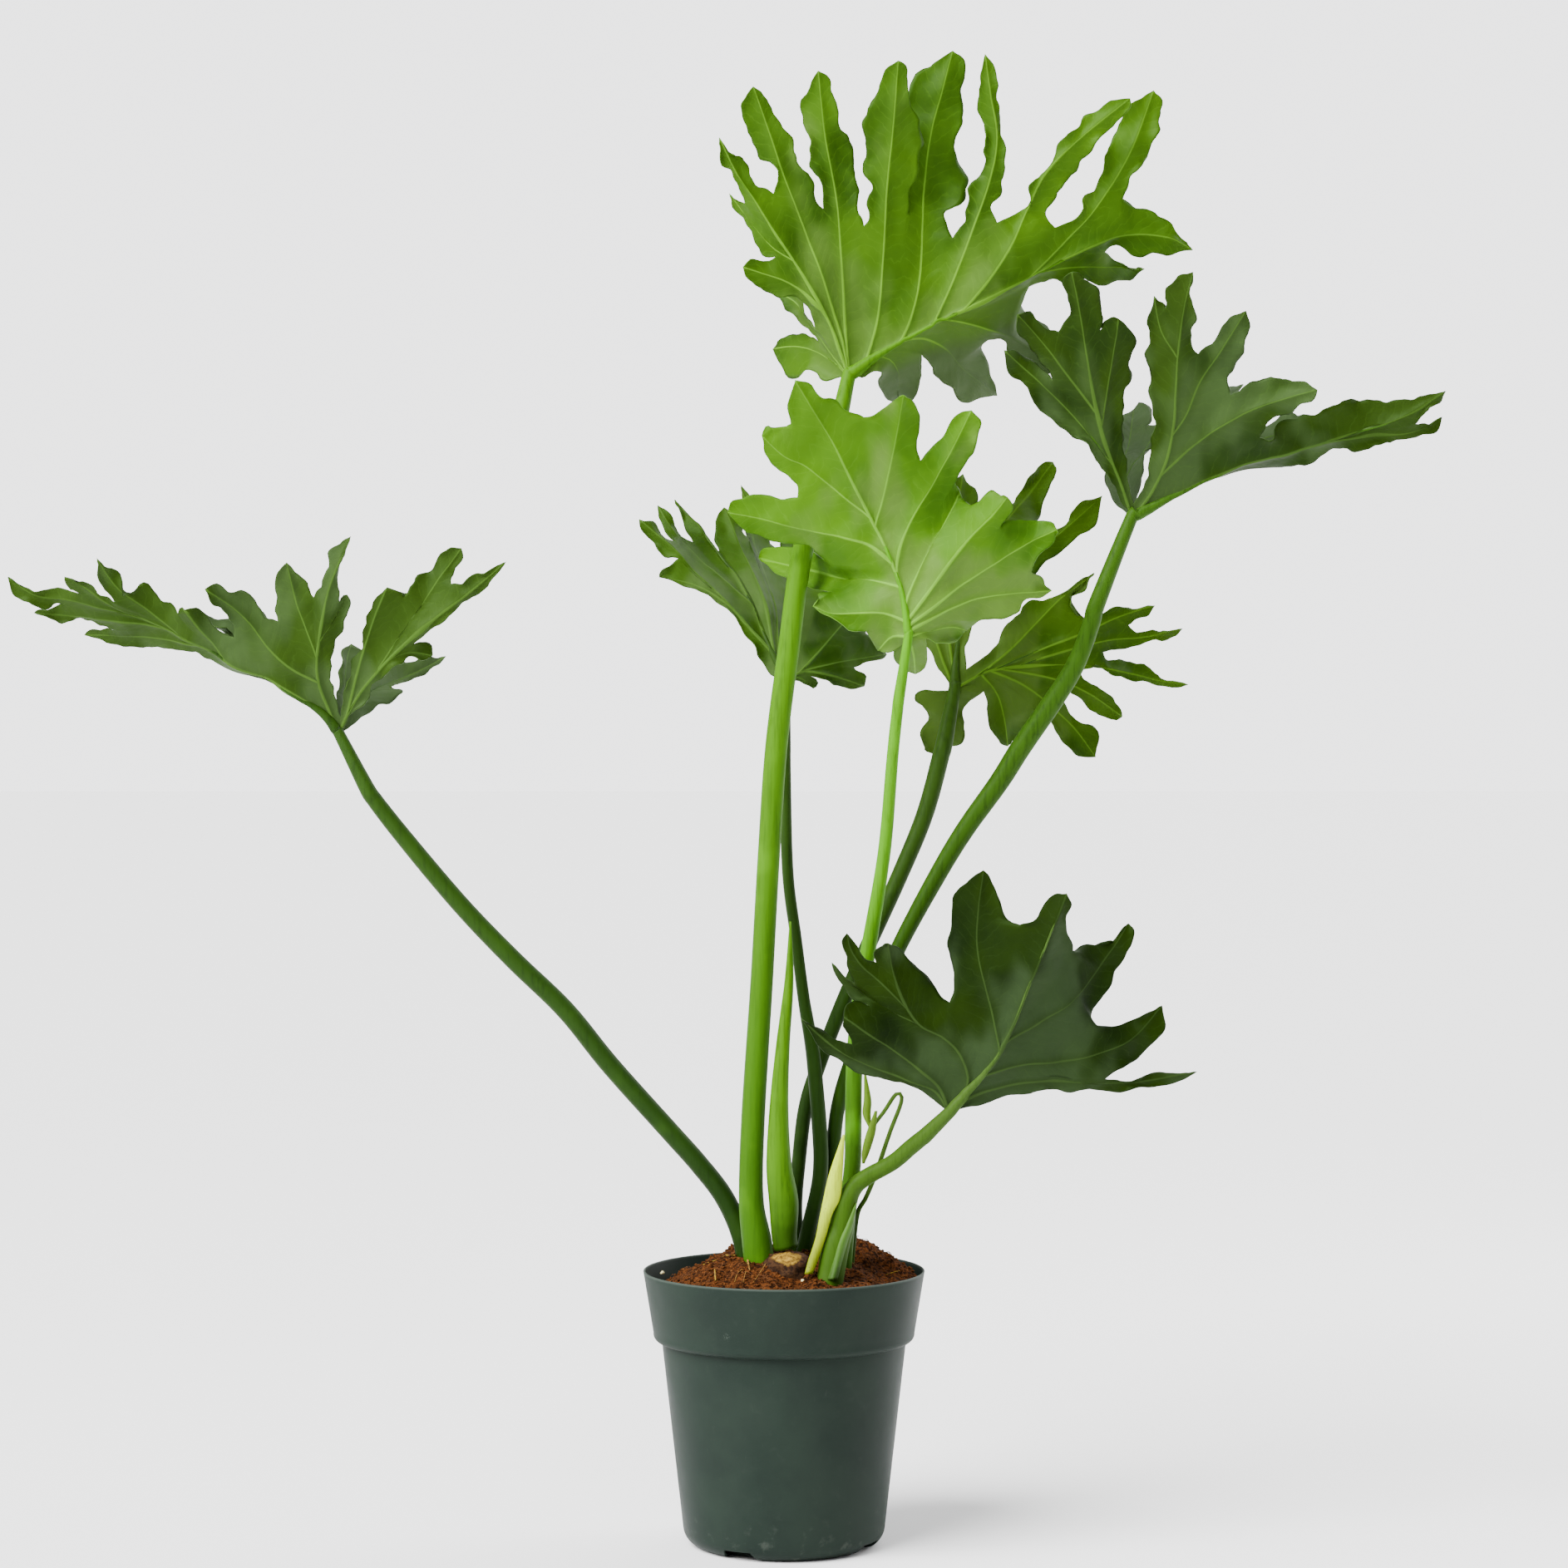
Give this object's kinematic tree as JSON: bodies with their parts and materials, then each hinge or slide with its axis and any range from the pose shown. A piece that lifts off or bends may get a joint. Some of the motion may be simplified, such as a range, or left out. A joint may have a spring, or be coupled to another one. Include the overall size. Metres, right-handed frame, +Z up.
{
  "type": "potted philodendron",
  "caption": "Young split-leaf philodendron with deeply lobed leaves on long bare stalks, rooted in a mound of potting mix in a round tapered nursery pot with a wide collar",
  "frame": {"origin": "centre of the flat foot of the pot, on the surface it stands on", "axes": "+Z up along the pot's axis, +X to the right and +Y to the back of the pictured view"},
  "size_m": [0.8437, 0.2651, 0.879],
  "materials": {
    "pot_plastic": "satin",
    "potting_mix": "matte",
    "trunk_bark": "matte",
    "bright_stalk": "satin",
    "dark_stalk": "satin",
    "bright_leaf": "satin",
    "dark_leaf": "satin",
    "dry_scale": "matte",
    "brown_stalk": "matte"
  },
  "bodies": {
    "root": {"pot": "pot_plastic", "soil": "potting_mix", "trunk": "trunk_bark", "petiole_top": "bright_stalk", "petiole_centre": "bright_stalk", "petiole_right": "dark_stalk", "petiole_rear_right": "dark_stalk", "petiole_low": "dark_stalk", "petiole_rear_left": "dark_stalk", "petiole_left": "dark_stalk", "blade_top": "bright_leaf", "blade_centre": "bright_leaf", "blade_right": "dark_leaf", "blade_rear_right": "dark_leaf", "blade_low": "dark_leaf", "blade_rear_left": "dark_leaf", "blade_left": "dark_leaf", "new_leaf": "bright_stalk", "cataphyll": "dry_scale", "side_shoot": "brown_stalk", "bract": "dry_scale", "husk": "dry_scale"}
  },
  "joints": []
}
